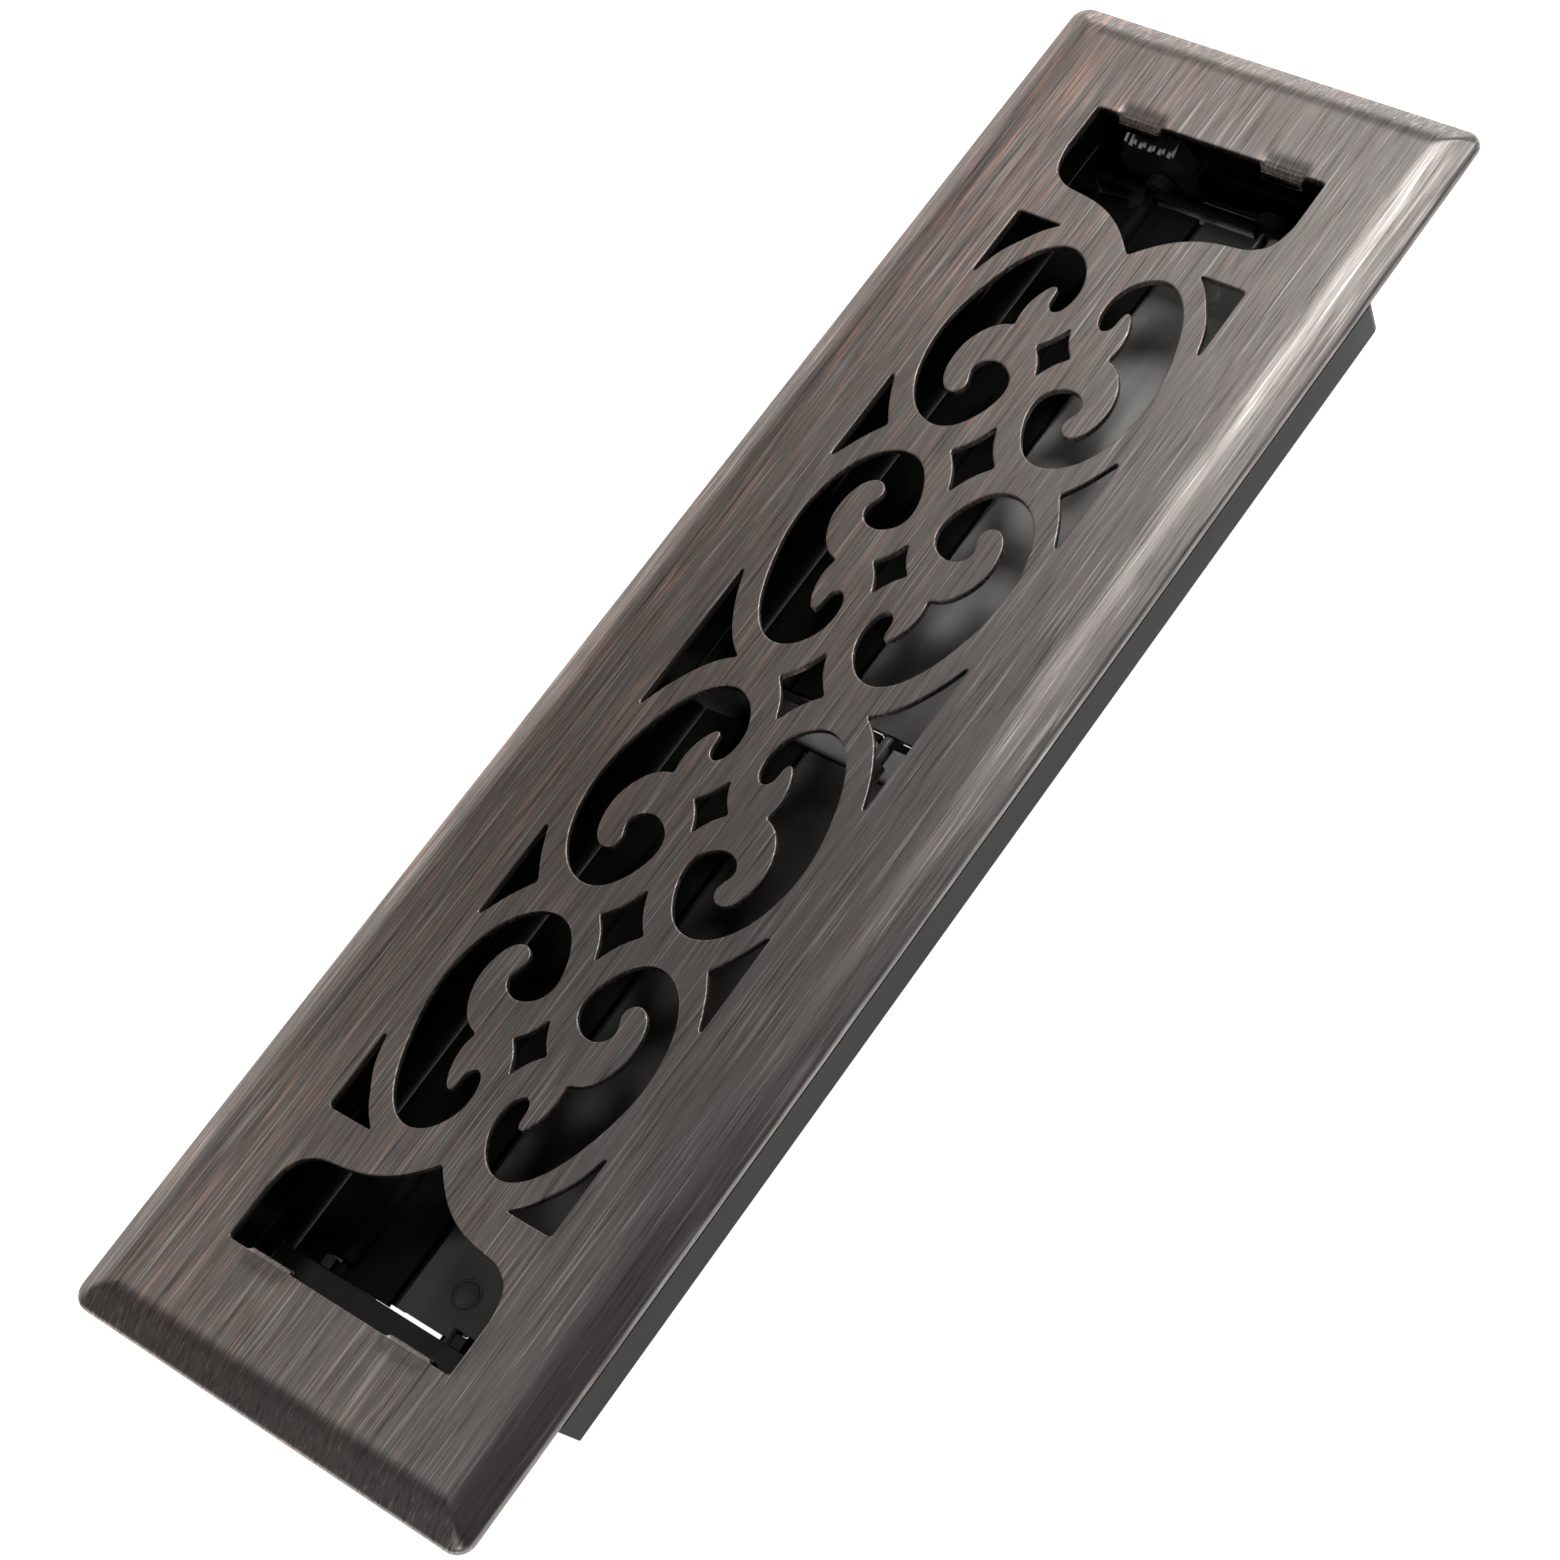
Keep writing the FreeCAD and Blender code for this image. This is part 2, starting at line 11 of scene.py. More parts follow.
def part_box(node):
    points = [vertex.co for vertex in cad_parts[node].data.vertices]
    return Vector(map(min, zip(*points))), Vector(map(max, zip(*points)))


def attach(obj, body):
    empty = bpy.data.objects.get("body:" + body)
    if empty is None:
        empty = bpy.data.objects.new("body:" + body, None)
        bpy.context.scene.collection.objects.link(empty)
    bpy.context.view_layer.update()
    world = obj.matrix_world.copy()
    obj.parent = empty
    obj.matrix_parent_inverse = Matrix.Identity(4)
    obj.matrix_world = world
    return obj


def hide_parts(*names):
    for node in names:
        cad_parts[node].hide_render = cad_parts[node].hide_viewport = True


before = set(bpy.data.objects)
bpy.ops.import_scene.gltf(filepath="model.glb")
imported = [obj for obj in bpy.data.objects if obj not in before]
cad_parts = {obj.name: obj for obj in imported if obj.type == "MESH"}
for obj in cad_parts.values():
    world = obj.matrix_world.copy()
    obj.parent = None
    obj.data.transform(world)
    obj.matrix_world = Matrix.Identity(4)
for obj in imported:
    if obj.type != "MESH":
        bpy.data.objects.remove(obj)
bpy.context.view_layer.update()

# A drop-in floor register. The faceplate is built here as one fine mesh: every cut edge is rolled over, the
# bevel flows out of the flat face, and the face dips round the bent tabs. The moulded pieces keep the CAD
# shapes, with their edges softened. Lengths below are millimetres unless a name says otherwise.
MM = 0.001

# ---- Sizes shared with the CAD ----

face_low, face_high = (Vector(corner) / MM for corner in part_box("faceplate"))
FACE_Z = face_high.z
HALF_X = face_high.x
HALF_Y = face_high.y
SHEET = 1.3
RIM_DROP = 4.2
RIM_EDGE = 1.1
BEVEL_WIDTH = 6.4
RIM_CORNER_R = 4.0
CREASE_CORNER_R = 1.6
REPEAT_Y = 59.05
SIDE_X = 27.7
WINDOW_END_Y = 146.5
WINDOW_SHOULDER_Y = 135.0
TAB_X = 17.4
TAB_HALF = 5.0
TAB_DROP = 4.0
TAB_IN = 1.1
FAR_BEND_R = 2.0
NEAR_BEND_R = 1.25
PIVOT_Z = FACE_Z - 16.5
LOUVRE_TOP = 1.5            # top of a closed louvre above its pivot


# ---- Small tools ----

SHARP_TURN = 28             # degrees between two steps of an outline that make a corner
EASING_PASSES = 6


def new_object(name, data):
    """A new object in the scene, holding a mesh, light or camera."""
    obj = bpy.data.objects.new(name, data)
    bpy.context.scene.collection.objects.link(obj)
    return obj


def smooth(mesh, sharp_angle=180):
    """Smooth shading, broken where two faces meet at more than sharp_angle degrees."""
    for polygon in mesh.polygons:
        polygon.use_smooth = True
    if sharp_angle < 180:
        mesh.set_sharp_from_angle(angle=math.radians(sharp_angle))


def spline(points, step=0.4):
    """A smooth curve through the points, sampled about every step: a natural cubic over the chord lengths."""
    points = np.array(points, float)
    chord = np.sqrt(np.linalg.norm(np.diff(points, axis=0), axis=1))
    t = np.concatenate([[0.0], np.cumsum(chord)])
    count = len(points)
    h = np.diff(t)
    system = np.eye(count)
    right = np.zeros_like(points)
    for i in range(1, count - 1):
        system[i, i - 1:i + 2] = [h[i - 1], 2 * (h[i - 1] + h[i]), h[i]]
        slopes = (points[i + 1] - points[i]) / h[i] - (points[i] - points[i - 1]) / h[i - 1]
        right[i] = 6 * slopes
    bend = np.linalg.solve(system, right)
    samples = []
    for i in range(count - 1):
        pieces = max(2, int(math.ceil(np.linalg.norm(points[i + 1] - points[i]) / step)))
        for s in np.linspace(0, 1, pieces, endpoint=False):
            a = 1 - s
            curve = a * points[i] + s * points[i + 1]
            pull = ((a ** 3 - a) * bend[i] + (s ** 3 - s) * bend[i + 1]) * h[i] ** 2 / 6
            samples.append(curve + pull)
    samples.append(points[-1])
    return np.array(samples)


def line(a, b, step=0.6):
    """Points from a to b, no further apart than step."""
    count = max(1, int(math.ceil(math.dist(a, b) / step)))
    return np.array([[a[0] + (b[0] - a[0]) * i / count, a[1] + (b[1] - a[1]) * i / count]
                     for i in range(count + 1)])


def joined(stretches):
    """One closed outline from stretches that meet end to end; the closing point isn't repeated."""
    loop = np.concatenate([stretch[:-1] for stretch in stretches])
    area = np.sum(loop[:, 0] * np.roll(loop[:, 1], -1) - np.roll(loop[:, 0], -1) * loop[:, 1])
    return loop if area > 0 else loop[::-1]


def softened(loop, radius):
    """The outline with its sharp corners eased, by a few passes of averaging near each corner."""
    before = loop - np.roll(loop, 1, axis=0)
    after = np.roll(loop, -1, axis=0) - loop
    turn = np.abs(np.arctan2(before[:, 0] * after[:, 1] - before[:, 1] * after[:, 0], (before * after).sum(1)))
    corners = loop[turn > math.radians(SHARP_TURN)]
    for _ in range(EASING_PASSES):
        gap = np.min(np.linalg.norm(loop[:, None] - corners[None], axis=2), axis=1) if len(corners) else 1e9
        weight = np.clip(1 - gap / radius, 0, 1)[:, None] * 0.5
        middle = (np.roll(loop, 1, axis=0) + np.roll(loop, -1, axis=0)) / 2
        loop = loop + weight * (middle - loop)
    return loop


# ---- The cut pattern ----

CORNER_REACH = 0.7          # how far from a corner an outline is eased


def scroll():
    """The C scroll of a quarter's outer half, from the cusp between its two tongues and back."""
    big_tongue = [(11.4, 90.7), (13.6, 90.0), (16.2, 87.6), (18.1, 83.7), (18.7, 79.5), (18.0, 75.0),
                  (16.4, 72.2), (14.3, 71.2), (12.5, 72.1), (11.9, 74.1), (12.6, 76.3), (13.0, 78.3)]
    big_curl = [(11.8, 80.4), (9.1, 81.35), (6.4, 80.5), (4.4, 78.5), (3.6, 75.2), (4.9, 69.8),
                (8.6, 64.5), (13.0, 63.05)]
    outer_side = [(18.0, 65.0), (22.4, 70.9), (24.6, 78.5), (25.0, 86.0), (23.5, 95.0), (19.9, 105.0),
                  (15.4, 110.7), (11.4, 112.1)]
    small_curl = [(7.4, 110.5), (4.3, 106.0), (3.6, 101.5), (4.6, 97.6), (6.2, 96.6), (7.6, 97.9)]
    small_tongue = [(8.0, 101.0), (8.8, 102.5), (10.4, 100.8), (11.6, 97.4), (11.9, 93.8), (11.4, 90.7)]
    return joined([spline(big_tongue + big_curl + outer_side + small_curl + small_tongue)])


def end_triangle():
    corner, inner, tip, tip_side = (SIDE_X, 116.4), (16.9, 116.35), (27.2, 99.0), (SIDE_X, 99.0)
    curve = spline([inner, (20.0, 113.4), (22.5, 109.9), (25.1, 105.6), tip])
    return joined([curve, line(tip, tip_side, 0.25), line(tip_side, corner), line(corner, inner)])


def side_triangle():
    """The curved triangle beside the mirror line between two scrolls."""
    low, high = (27.2, 47.9), (27.2, 2 * REPEAT_Y - 47.9)
    inner = (21.05, REPEAT_Y)
    low_side, high_side = (SIDE_X, low[1]), (SIDE_X, high[1])
    return joined([spline([low, (24.1, 54.4), inner]), spline([inner, (24.1, 2 * REPEAT_Y - 54.4), high]),
                   line(high, high_side, 0.25), line(high_side, low_side), line(low_side, low, 0.25)])


def centre_triangle():
    tip, inner = (27.3, 17.6), (15.9, 0.0)
    upper = spline([inner, (20.0, 3.5), (25.0, 11.7), tip])
    lower = (upper * [1, -1])[::-1]
    return joined([lower, upper, line(tip, (SIDE_X, 17.6), 0.2), line((SIDE_X, 17.6), (SIDE_X, -17.6)),
                   line((SIDE_X, -17.6), (27.3, -17.6), 0.2)])


def diamond(centre_y, half_height, half_width):
    """A diamond with its sides drawn in a little."""
    pull = 0.43
    tips = [(0, half_height), (half_width, 0), (0, -half_height), (-half_width, 0)]
    stretches = []
    for a, b in zip(tips, tips[1:] + tips[:1]):
        middle = ((a[0] + b[0]) * pull, centre_y + (a[1] + b[1]) * pull)
        stretches.append(spline([(a[0], centre_y + a[1]), middle, (b[0], centre_y + b[1])]))
    return joined(stretches)


def end_window():
    """The far window: its outer edge steps in at the two tabs, which are bent down out of it."""
    curve = spline([(SIDE_X, WINDOW_SHOULDER_Y), (27.3, 132.3), (26.4, 129.3), (25.0, 127.4), (22.5, 125.9),
                    (20.0, 125.3), (15.0, 124.6), (10.0, 123.0), (5.0, 119.9), (0.0, 115.0)])
    other = (curve * [-1, 1])[::-1]
    tab_y = WINDOW_END_Y - TAB_IN
    edge = [(-SIDE_X, WINDOW_SHOULDER_Y), (-SIDE_X, WINDOW_END_Y)]
    for x in (-TAB_X, TAB_X):
        edge += [(x - TAB_HALF, WINDOW_END_Y), (x - TAB_HALF, tab_y), (x + TAB_HALF, tab_y),
                 (x + TAB_HALF, WINDOW_END_Y)]
    edge += [(SIDE_X, WINDOW_END_Y), (SIDE_X, WINDOW_SHOULDER_Y)]
    return joined([curve, other] + [line(a, b, 0.45) for a, b in zip(edge, edge[1:])])


def openings():
    """All 27 outlines: 8 scrolls, 8 end and side triangles, 2 centre triangles, 2 windows and 7 diamonds."""
    quarter = [scroll(), side_triangle(), end_triangle()]
    quarter.append(quarter[0] * [1, -1] + [0, 2 * REPEAT_Y])
    loops = []
    for loop in quarter:
        loops += [loop * [sx, sy] for sx in (1, -1) for sy in (1, -1)]
    loops += [centre_triangle() * [sx, 1] for sx in (1, -1)]
    loops += [end_window() * [1, sy] for sy in (1, -1)]
    loops.append(diamond(0, 8.65, 5.5))
    for side in (-1, 1):
        loops.append(diamond(side * REPEAT_Y, 8.7, 5.35))
        loops += [diamond(side * (REPEAT_Y + offset), 6.55, 4.2) for offset in (-28.9, 28.9)]
    return [softened(joined([np.vstack([loop, loop[:1]])]), CORNER_REACH) for loop in loops]


ACROSS_COUNT, ALONG_COUNT = 36, 130     # points on a short and on a long side of the rim


def rim_ring(inset):
    """A rounded rectangle parallel to the rim, always with the same count of points, anticlockwise."""
    corner_r = max(CREASE_CORNER_R, RIM_CORNER_R - inset * 0.375)
    half = np.array([HALF_X - inset - corner_r, HALF_Y - inset - corner_r])
    angles = np.radians(np.arange(0, 91, 7.5))
    arc = corner_r * np.stack([np.cos(angles), np.sin(angles)], axis=1)
    loop = []
    for quarter, (sx, sy) in enumerate(((1, 1), (-1, 1), (-1, -1), (1, -1))):
        turned = arc if quarter == 0 else arc @ np.linalg.matrix_power(np.array([[0, 1], [-1, 0]]), quarter)
        centre = half * [sx, sy]
        loop.append(centre + turned)
        side = np.array([sx * half[0], sy * half[1]]) + turned[-1]
        nxt = ((-1, 1), (-1, -1), (1, -1), (1, 1))[quarter]
        goal = half * nxt + turned[-1]
        count = ACROSS_COUNT if quarter % 2 == 0 else ALONG_COUNT
        steps = np.arange(1, count)[:, None] / count
        loop.append(side + (goal - side) * steps)
    return np.concatenate(loop)


# ---- Heights of the pressed sheet ----

ROLL = 0.28                 # rolled-over radius of every cut edge
CREASE_SOFT = 2.6           # half-width over which the face bends into the bevel
EDGE_R = 0.7                # rounding at the top of the rim
EDGE_FALL = 0.8             # share of that rounding which the rim takes
RIM_FALL = 0.56             # what it takes off the very edge
DIP = 0.42                  # depth of the face's dip behind a tab


def bevel_drop(s):
    """How far the surface lies under the flat face at distance s from the rim."""
    rise = RIM_DROP - RIM_EDGE
    slope = rise / BEVEL_WIDTH
    x = s - BEVEL_WIDTH
    bend = (CREASE_SOFT - x) ** 2 / (4 * CREASE_SOFT)
    soft = np.where(x <= -CREASE_SOFT, -x, np.where(x >= CREASE_SOFT, 0.0, bend))
    rim = np.clip(EDGE_R - s, 0, EDGE_R)
    rounding = EDGE_R - np.sqrt(np.clip(EDGE_R ** 2 - rim ** 2, 0, None))
    return slope * soft + rounding * EDGE_FALL


def rim_distance(x, y):
    """Distance in from the rim, with the mitres at the corners eased."""
    dx, dy = HALF_X - np.abs(x), HALF_Y - np.abs(y)
    ease = 1.6
    mix = np.clip(0.5 + 0.5 * (dy - dx) / ease, 0, 1)
    straight = dy + (dx - dy) * mix - ease * mix * (1 - mix) * 0.5
    cx, cy = np.abs(x) - (HALF_X - RIM_CORNER_R), np.abs(y) - (HALF_Y - RIM_CORNER_R)
    round_corner = RIM_CORNER_R - np.hypot(np.clip(cx, 0, None), np.clip(cy, 0, None))
    in_corner = (cx > 0) & (cy > 0)
    return np.clip(np.where(in_corner, np.minimum(round_corner, straight), straight), 0, None)


def tab_drop(x, y):
    """The bend of the tabs, and the dip that bending left in the face behind them. The near tabs bend tighter."""
    radius = np.where(y > 0, FAR_BEND_R, NEAR_BEND_R)
    y = np.abs(y)
    across = np.abs(np.abs(x) - TAB_X)
    bend_y = WINDOW_END_Y - TAB_IN + radius
    into = np.clip(bend_y - y, 0, radius)
    bend = radius - np.sqrt(np.clip(radius ** 2 - into ** 2, 0, None))
    dip = DIP * np.exp(-np.clip(y - bend_y + 0.6, 0, None) ** 2 / (2 * 1.5 ** 2))
    near = 1 / (1 + np.exp((across - TAB_HALF - 0.1) / 0.35))
    on_tab = np.where(y < WINDOW_END_Y - 0.02, (across < TAB_HALF + 0.3).astype(float), near)
    return np.where(y > 140, bend * on_tab + dip * near, 0.0)


def surface_drop(x, y):
    """How far the sheet's upper surface lies under the flat face."""
    return bevel_drop(rim_distance(x, y)) + tab_drop(x, y)


def nearest(points, targets):
    """Distance from each point to the nearest target."""
    tree = KDTree(len(targets))
    for index, target in enumerate(targets):
        tree.insert((target[0], target[1], 0), index)
    tree.balance()
    return np.array([tree.find((p[0], p[1], 0))[2] for p in points])


def dense(loop, step=0.06):
    """The outline with points close enough to measure distances from."""
    ends = np.roll(loop, -1, axis=0)
    return np.concatenate([line(a, b, step)[:-1] for a, b in zip(loop, ends)])


def outward(loop):
    """Unit normals of an anticlockwise outline, pointing out of it."""
    along = np.roll(loop, -1, axis=0) - np.roll(loop, 1, axis=0)
    along /= np.linalg.norm(along, axis=1)[:, None]
    return np.stack([along[:, 1], -along[:, 0]], axis=1)


def inside(points, loop):
    """Which of the points lie inside the outline."""
    odd = np.zeros(len(points), bool)
    for a, b in zip(loop, np.roll(loop, -1, axis=0)):
        crosses = (a[1] > points[:, 1]) != (b[1] > points[:, 1])
        if crosses.any():
            at = a[0] + (points[:, 1] - a[1]) * (b[0] - a[0]) / (b[1] - a[1] + 1e-12)
            odd ^= crosses & (points[:, 0] < at)
    return odd


HOLE_STEPS = np.array([0.0, 0.12, 0.35, 0.7, 1.0, 1.5]) * ROLL
BEVEL_STEPS = (0.0, 0.1, 0.25, 0.45, 0.7, 1.3, 2.2, 3.1, 3.8, 4.4, 4.9, 5.4, 5.9, 6.4, 6.9, 7.4, 7.9, 8.4, 9.0,
               10.0)


def strips_of_rings(holes):
    """Rings inwards from the rim, then rings outwards from each opening."""
    strips = [[rim_ring(inset) for inset in BEVEL_STEPS]]
    for loop in holes:
        normals = outward(loop)
        strips.append([loop + normals * step for step in HOLE_STEPS])
    return strips


def free_points(edge_points):
    """Points of the flat face away from the cut edges: a coarse grid, and a fine one round each tab."""
    free = []
    grid_x, grid_y = np.meshgrid(np.arange(-38, 38.1, 2.0), np.arange(-160, 160.1, 2.0))
    grid = np.stack([grid_x.ravel(), grid_y.ravel()], axis=1)
    free.append(grid[nearest(grid, edge_points) > 1.2])
    for sx in (-1, 1):
        for sy in (-1, 1):
            fine_x, fine_y = np.meshgrid(np.arange(-7.2, 7.3, 0.45), np.arange(145.6, 153.1, 0.3))
            fine = np.stack([(fine_x + sx * TAB_X).ravel(), (fine_y * sy).ravel()], axis=1)
            free.append(fine[nearest(fine, edge_points) > ROLL * 1.9])
    return np.concatenate(free)


def flat_net(strips, free):
    """The sheet seen from above: its points, its faces, and the rings at the rim and round each opening."""
    coords, edges = [], []
    for strip in strips:
        loop = strip[-1]
        start = len(coords)
        coords += [Vector(p) for p in loop]
        edges += [(start + i, start + (i + 1) % len(loop)) for i in range(len(loop))]
    coords += [Vector(p) for p in free]
    verts, _, faces, _, _, _ = delaunay_2d_cdt(coords, edges, [], 2, 1e-5)
    flat = [np.array([tuple(v) for v in verts])]
    centres = np.array([flat[0][list(face)].mean(axis=0) for face in faces])
    cut_out = np.any([inside(centres, strip[-1]) for strip in strips[1:]], axis=0)
    faces = [list(face) for face, out in zip(faces, cut_out) if not out]
    total = len(verts)
    rims = []
    for strip in strips:
        loop_count = len(strip[0])
        first = total
        for ring in strip:
            flat.append(ring)
            total += loop_count
        for level in range(len(strip) - 1):
            for i in range(loop_count):
                j = (i + 1) % loop_count
                a, b = first + level * loop_count, first + (level + 1) * loop_count
                faces.append([a + j, a + i, b + i, b + j])
        rims.append([first + i for i in range(loop_count)])
    # The rim's strip runs inwards, so its faces turn the other way.
    rim_faces = (len(strips[0]) - 1) * len(strips[0][0])
    strip_start = len(faces) - sum((len(s) - 1) * len(s[0]) for s in strips)
    for index in range(strip_start, strip_start + rim_faces):
        faces[index].reverse()
    return np.concatenate(flat), faces, rims


def faceplate():
    """The sheet: strips of quads round every cut edge and along the bevel, and a triangulated face between."""
    holes = openings()
    edge_points = np.concatenate([dense(loop) for loop in holes])
    flat, faces, rims = flat_net(strips_of_rings(holes), free_points(edge_points))
    gap = nearest(flat, edge_points)
    lift = np.clip(ROLL - gap, 0, ROLL)
    roll = ROLL - np.sqrt(np.clip(ROLL ** 2 - lift ** 2, 0, None))
    drop = surface_drop(flat[:, 0], flat[:, 1])
    rim_gap = rim_distance(flat[:, 0], flat[:, 1])
    rim_thickness = RIM_EDGE - RIM_FALL
    thickness = rim_thickness + (SHEET - rim_thickness) * np.clip(rim_gap / 2.0, 0, 1)
    top = FACE_Z - drop - roll
    under = np.where(rim_gap < 9.6, FACE_Z - drop - thickness, FACE_Z - drop - SHEET)
    under = np.maximum(under, FACE_Z - RIM_DROP)

    bm = bmesh.new()
    upper = [bm.verts.new((x * MM, y * MM, z * MM)) for (x, y), z in zip(flat, top)]
    lower = [bm.verts.new((x * MM, y * MM, z * MM)) for (x, y), z in zip(flat, under)]
    for face in faces:
        bm.faces.new([upper[i] for i in face])
        bm.faces.new([lower[i] for i in reversed(face)])
    for index, ring in enumerate(rims):
        for i, a in enumerate(ring):
            b = ring[(i + 1) % len(ring)]
            quad = [upper[a], upper[b], lower[b], lower[a]]
            bm.faces.new(quad if index else quad[::-1])
    bmesh.ops.remove_doubles(bm, verts=bm.verts, dist=0.004 * MM)
    bmesh.ops.recalc_face_normals(bm, faces=bm.faces)
    across = bm.loops.layers.uv.new("across")
    for face in bm.faces:
        for loop in face.loops:
            x, y, z = loop.vert.co
            loop[across].uv = (x - 0.4 * z, y + 0.3 * z)
    mesh = bpy.data.meshes.new("faceplate_sheet")
    bm.to_mesh(mesh)
    bm.free()
    smooth(mesh, 42)
    return new_object("faceplate_sheet", mesh)


LEAF_TOP_DROP = 1.75        # where a tab's hanging leaf starts, inside the bend


def tab_leaf(name, x, y):
    """The part of a tab that hangs behind the window's edge, with its lower corners eased; y is its end's sign."""
    bm = bmesh.new()
    bmesh.ops.create_cube(bm, size=1.0)
    low, high = FACE_Z - TAB_DROP, FACE_Z - LEAF_TOP_DROP
    inner = WINDOW_END_Y - TAB_IN
    for vert in bm.verts:
        across = (TAB_HALF - 0.05) * 2 * vert.co.x
        along = inner + SHEET * (vert.co.y + 0.5)
        vert.co = ((x + across) * MM, along * y * MM, (low + (high - low) * (vert.co.z + 0.5)) * MM)
    if y < 0:
        bmesh.ops.reverse_faces(bm, faces=bm.faces)
    lower = [edge for edge in bm.edges if abs(edge.verts[0].co.x - edge.verts[1].co.x) < 1e-7
             and min(v.co.z for v in edge.verts) < (low + 0.1) * MM]
    bmesh.ops.bevel(bm, geom=lower, offset=0.3 * MM, offset_type="OFFSET", segments=3, profile=0.5,
                    affect="EDGES", clamp_overlap=True)
    bmesh.ops.recalc_face_normals(bm, faces=bm.faces)
    across_uv = bm.loops.layers.uv.new("across")
    for face in bm.faces:
        for loop in face.loops:
            loop[across_uv].uv = (loop.vert.co.x, loop.vert.co.z)
    mesh = bpy.data.meshes.new(name)
    bm.to_mesh(mesh)
    bm.free()
    smooth(mesh, 42)
    leaf = new_object(name, mesh)
    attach(leaf, "register")
    return leaf


def moulding_mark(name, x, y):
    """The shallow round mark that an ejector pin leaves on a louvre: a ring with a low dome inside it."""
    top, radius, turns = PIVOT_Z + LOUVRE_TOP, 3.0, 64
    sunk, dome_foot, dome_rise = -0.15, 0.03, 0.13
    profile = [(radius + 0.12, sunk), (radius + 0.1, 0.02), (radius, 0.07), (radius - 0.12, 0.05),
               (radius - 0.3, dome_foot)]
    profile += [(r, dome_foot + dome_rise * (1 - (r / radius) ** 2))
                for r in (2.55, 2.3, 2.0, 1.65, 1.3, 0.95, 0.6, 0.3)]
    verts, faces = [], []
    for r, z in profile:
        for turn in range(turns):
            angle = 2 * math.pi * turn / turns
            verts.append(((x + r * math.cos(angle)) * MM, (y + r * math.sin(angle)) * MM, (top + z) * MM))
    for level in range(len(profile) - 1):
        for turn in range(turns):
            after = (turn + 1) % turns
            a, b = level * turns, (level + 1) * turns
            faces.append((a + turn, a + after, b + after, b + turn))
    last = (len(profile) - 1) * turns
    verts += [(x * MM, y * MM, (top + dome_foot + dome_rise) * MM), (x * MM, y * MM, (top + sunk) * MM)]
    for turn in range(turns):
        after = (turn + 1) % turns
        faces.append((last + turn, last + after, len(verts) - 2))
        faces.append((after, turn, len(verts) - 1))
    mesh = bpy.data.meshes.new(name)
    mesh.from_pydata(verts, [], faces)
    smooth(mesh)
    mark = new_object(name, mesh)
    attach(mark, "right_louvre")
    return mark


plate = faceplate()
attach(plate, "register")
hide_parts("faceplate")


# ---- Materials ----

class Surface:
    """A node material on one Principled shader; uniform values are set on the shader's own sockets."""

    def __init__(self, name, **values):
        self.material = bpy.data.materials.new(name)
        self.material.use_nodes = True
        self.tree = self.material.node_tree
        self.shader = self.tree.nodes["Principled BSDF"]
        for socket, value in values.items():
            self.shader.inputs[socket.replace("_", " ")].default_value = value
        self.place = self.tree.nodes.new("ShaderNodeTexCoord").outputs["Object"]

    def link(self, output, target):
        self.tree.links.new(output, target)

    def noise(self, scale, detail=3.0, roughness=0.55, seed=0.0):
        """Noise whose grains are 1/scale metres along each axis."""
        mapping = self.tree.nodes.new("ShaderNodeMapping")
        mapping.inputs["Scale"].default_value = scale
        mapping.inputs["Location"].default_value = (seed, seed * 1.7, seed * 0.6)
        texture = self.tree.nodes.new("ShaderNodeTexNoise")
        texture.inputs["Scale"].default_value = 1.0
        texture.inputs["Detail"].default_value = detail
        texture.inputs["Roughness"].default_value = roughness
        self.link(self.place, mapping.inputs["Vector"])
        self.link(mapping.outputs["Vector"], texture.inputs["Vector"])
        return texture.outputs["Fac"]

    def ramp(self, factor, low, high, start, end):
        """Maps factor from low..high to start..end, clamped."""
        node = self.tree.nodes.new("ShaderNodeMapRange")
        for socket, value in zip(("From Min", "From Max", "To Min", "To Max"), (low, high, start, end)):
            node.inputs[socket].default_value = value
        self.link(factor, node.inputs["Value"])
        return node.outputs["Result"]

    def mix(self, factor, first, second, blend="MIX"):
        node = self.tree.nodes.new("ShaderNodeMix")
        node.data_type = "RGBA"
        node.blend_type = blend
        for value, socket in ((factor, node.inputs[0]), (first, node.inputs[6]), (second, node.inputs[7])):
            if isinstance(value, bpy.types.NodeSocket):
                self.link(value, socket)
            elif isinstance(value, (int, float)):
                socket.default_value = value
            else:
                socket.default_value = (*value, 1.0)
        return node.outputs[2]

    def combine(self, first, second, operation="ADD"):
        node = self.tree.nodes.new("ShaderNodeMath")
        node.operation = operation
        for value, socket in ((first, node.inputs[0]), (second, node.inputs[1])):
            if isinstance(value, bpy.types.NodeSocket):
                self.link(value, socket)
            else:
                socket.default_value = value
        return node.outputs[0]

    def bump(self, height, distance, strength=1.0):
        node = self.tree.nodes.new("ShaderNodeBump")
        node.inputs["Strength"].default_value = strength
        node.inputs["Distance"].default_value = distance
        self.link(height, node.inputs["Height"])
        self.link(node.outputs["Normal"], self.shader.inputs["Normal"])


BRUSH_DEPTH = 0.000012      # metres that a bump map stands for


